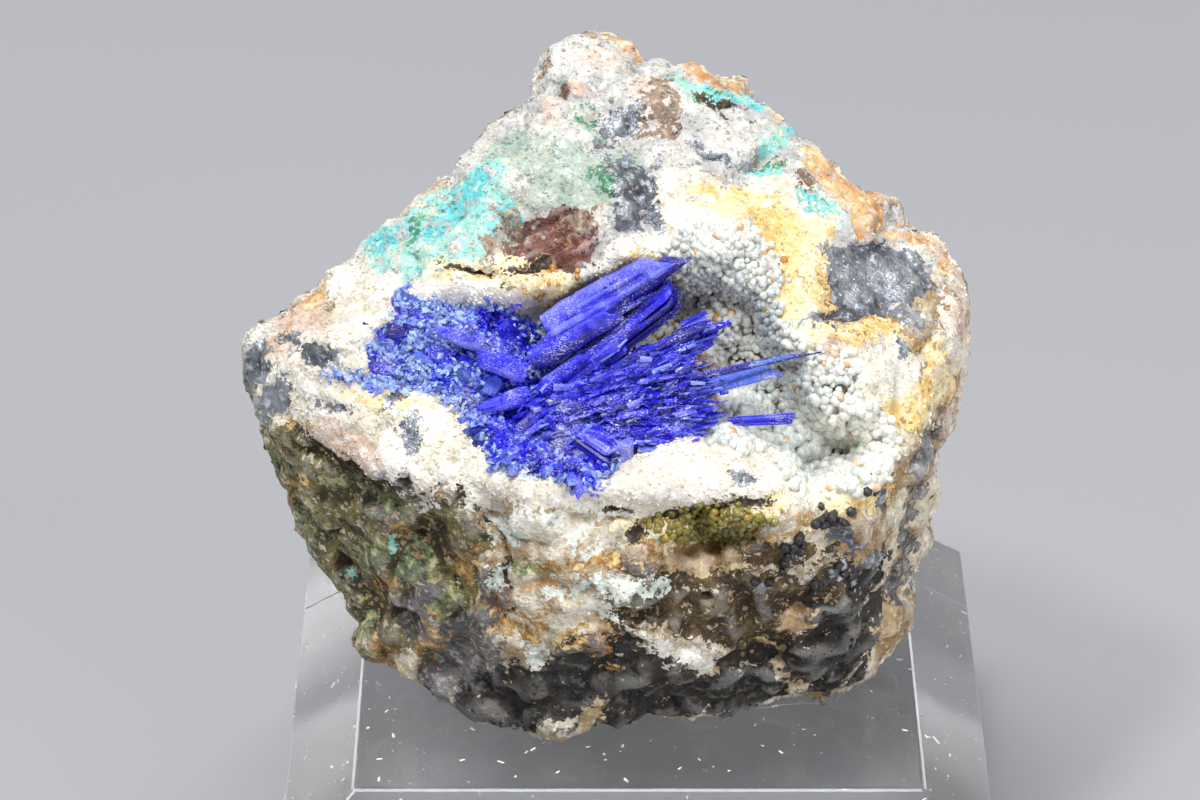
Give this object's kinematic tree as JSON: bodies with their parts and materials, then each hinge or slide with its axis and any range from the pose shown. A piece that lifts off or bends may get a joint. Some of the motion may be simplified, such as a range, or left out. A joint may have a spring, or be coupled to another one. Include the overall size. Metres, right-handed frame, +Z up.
{
  "type": "linarite specimen",
  "caption": "Broken piece of vein rock with a hollow of blue linarite blades and pale crystals, tilted up on a clear bevelled block.",
  "frame": {"origin": "centre of the clear stand's underside", "axes": "+Z up out of the stand, +X to the viewer's right, -Y towards the viewer that the stone's bright face leans back from"},
  "size_m": [0.0401, 0.038, 0.0465],
  "materials": {
    "clear_acrylic": "polished clear block with fine dust and scratches",
    "vein_rock": "rough broken rock, white, honey, brown, green and dark grey",
    "linarite": "vitreous deep azure blue, partly see-through",
    "pale_crystals": "waxy pale grey-white crystals"
  },
  "bodies": {
    "root": {"display_stand": "clear_acrylic", "matrix": "vein_rock", "linarite_spray": "linarite", "linarite_lone_blade": "linarite", "vug_crust": "pale_crystals", "slot_crust": "pale_crystals"}
  },
  "joints": []
}
